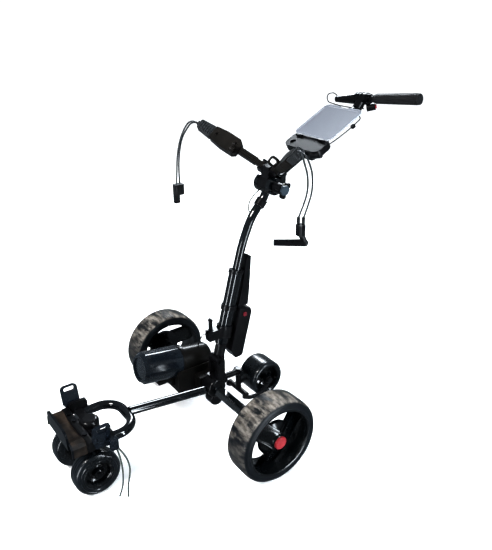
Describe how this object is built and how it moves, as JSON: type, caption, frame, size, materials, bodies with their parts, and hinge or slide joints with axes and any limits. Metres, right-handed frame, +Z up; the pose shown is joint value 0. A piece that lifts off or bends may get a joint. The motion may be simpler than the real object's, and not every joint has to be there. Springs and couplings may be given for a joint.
{
  "type": "electric golf cart frame without a bag",
  "caption": "Three-track electric golf cart with a folding mast, strap arms, console and side grip, with no bag on it.",
  "frame": {"origin": "on the ground under the centre of the cart's bounding box", "axes": "+Z up, -Y to the cart's front, +X to its left, length along Y"},
  "size_m": [0.724, 1.1857, 1.0466],
  "materials": {
    "tyre": "matt rubber",
    "plastic": "satin moulded plastic",
    "gloss": "gloss moulded plastic",
    "frame": "gloss powder coat",
    "steel": "satin steel",
    "red": "gloss plastic",
    "grey": "gloss plastic",
    "lid": "fine dot texture",
    "rubber": "soft rubber",
    "cord": "woven cord",
    "lead": "cable sheath"
  },
  "bodies": {
    "chassis": {"keel_tube": "frame", "fork_tube": "frame", "rear_hub": "plastic", "axle_housings": "frame", "gearbox_case": "plastic", "motor_front": "gloss", "motor_rear": "gloss", "motor_band": "steel", "tip_yoke": "plastic", "base_frame": "frame", "base_tray": "plastic", "pins_and_bushings": "steel", "frame_bolts": "steel", "motor_lead": "lead"},
    "rear_wheel_left": {"rear_tyre_left": "tyre", "rear_rim_left": "plastic", "rear_hub_cap_left": "red"},
    "rear_wheel_right": {"rear_tyre_right": "tyre", "rear_rim_right": "plastic", "rear_hub_cap_right": "red"},
    "caster": {"caster_fork": "plastic", "caster_pins": "steel"},
    "front_wheel_left": {"front_tyre_left": "tyre", "front_rim_left": "plastic"},
    "front_wheel_right": {"front_tyre_right": "tyre", "front_rim_right": "plastic"},
    "tip_wheel": {"tip_tyre": "tyre", "tip_rim": "plastic"},
    "lower_arm_left": {"lower_arm_left": "plastic", "lower_cord_a": "cord", "lower_cord_b": "cord"},
    "lower_arm_right": {"lower_arm_right": "plastic"},
    "mast": {"mast_castings": "plastic", "mast_lower": "frame", "mast_upper": "frame", "hub_core": "plastic", "hub_pins": "steel", "battery_pack": "plastic", "battery_latch": "red", "hub_lead": "lead"},
    "cuff_lever": {"cuff_lever": "plastic"},
    "hub_knob": {"hub_knob": "plastic", "knob_cap": "grey"},
    "handle": {"handle_stem": "frame", "console_body": "plastic", "handle_knuckle": "plastic", "handle_grip": "rubber", "handle_lead": "lead"},
    "console_lid": {"console_lid": "lid"},
    "stop_button": {"stop_button": "red"},
    "upper_arm_left": {"upper_arm_left": "plastic", "arm_pad_left": "rubber", "left_cord_a": "cord", "left_cord_b": "cord", "pull_handle": "plastic"},
    "upper_arm_right": {"upper_arm_right": "plastic", "arm_pad_right": "rubber", "right_cord_a": "cord", "right_cord_b": "cord", "strap_hook": "plastic"}
  },
  "joints": [
    {"name": "rear_wheel_left_roll", "type": "hinge", "parent": "chassis", "child": "rear_wheel_left", "pos_m": [0.316, -0.066, 0.135], "axis": [1, 0, 0], "continuous": true},
    {"name": "rear_wheel_right_roll", "type": "hinge", "parent": "chassis", "child": "rear_wheel_right", "pos_m": [-0.316, -0.066, 0.135], "axis": [1, 0, 0], "continuous": true},
    {"name": "caster_swivel", "type": "hinge", "parent": "chassis", "child": "caster", "pos_m": [0, -0.496, 0.13], "axis": [0, 0, 1], "continuous": true},
    {"name": "front_wheel_left_roll", "type": "hinge", "parent": "caster", "child": "front_wheel_left", "pos_m": [0.0735, -0.52, 0.07], "axis": [1, 0, 0], "continuous": true},
    {"name": "front_wheel_right_roll", "type": "hinge", "parent": "caster", "child": "front_wheel_right", "pos_m": [-0.0735, -0.52, 0.07], "axis": [1, 0, 0], "continuous": true},
    {"name": "tip_wheel_roll", "type": "hinge", "parent": "chassis", "child": "tip_wheel", "pos_m": [0, 0.1355, 0.103], "axis": [1, 0, 0], "continuous": true},
    {"name": "lower_arm_left_fold", "type": "hinge", "parent": "chassis", "child": "lower_arm_left", "pos_m": [0.092, -0.504, 0.182], "axis": [1, 0, 0], "range_deg": [-60, 0]},
    {"name": "lower_arm_right_fold", "type": "hinge", "parent": "chassis", "child": "lower_arm_right", "pos_m": [-0.092, -0.504, 0.182], "axis": [1, 0, 0], "range_deg": [-60, 0]},
    {"name": "mast_fold", "type": "hinge", "parent": "chassis", "child": "mast", "pos_m": [0, -0.046, 0.231], "axis": [1, 0, 0], "range_deg": [0, 70], "deforming": ["motor_lead"]},
    {"name": "cuff_lever_flip", "type": "hinge", "parent": "mast", "child": "cuff_lever", "pos_m": [0, -0.068, 0.34], "axis": [1, 0, 0], "range_deg": [0, 80]},
    {"name": "hub_knob_turn", "type": "hinge", "parent": "mast", "child": "hub_knob", "pos_m": [0.06, 0.156, 0.787], "axis": [1, 0, 0], "range_deg": [-360, 360]},
    {"name": "handle_fold", "type": "hinge", "parent": "mast", "child": "handle", "pos_m": [0, 0.156, 0.787], "axis": [1, 0, 0], "range_deg": [-85, 0]},
    {"name": "lid_open", "type": "hinge", "parent": "handle", "child": "console_lid", "pos_m": [0, 0.3212, 0.90953], "axis": [1, 0, 0], "range_deg": [0, 100]},
    {"name": "stop_button_press", "type": "slide", "parent": "handle", "child": "stop_button", "axis": [-0.7557, -0.6046, -0.2519], "range_m": [0, 0.003], "stiffness_N_per_m": 300, "springref_m": -0.002},
    {"name": "upper_arm_left_swing", "type": "hinge", "parent": "mast", "child": "upper_arm_left", "pos_m": [0.031, 0.159, 0.838], "axis": [0, 0.7502, 0.6612], "range_deg": [-40, 0]},
    {"name": "upper_arm_right_swing", "type": "hinge", "parent": "mast", "child": "upper_arm_right", "pos_m": [-0.031, 0.159, 0.838], "axis": [0, 0.7502, 0.6612], "range_deg": [0, 40]}
  ]
}
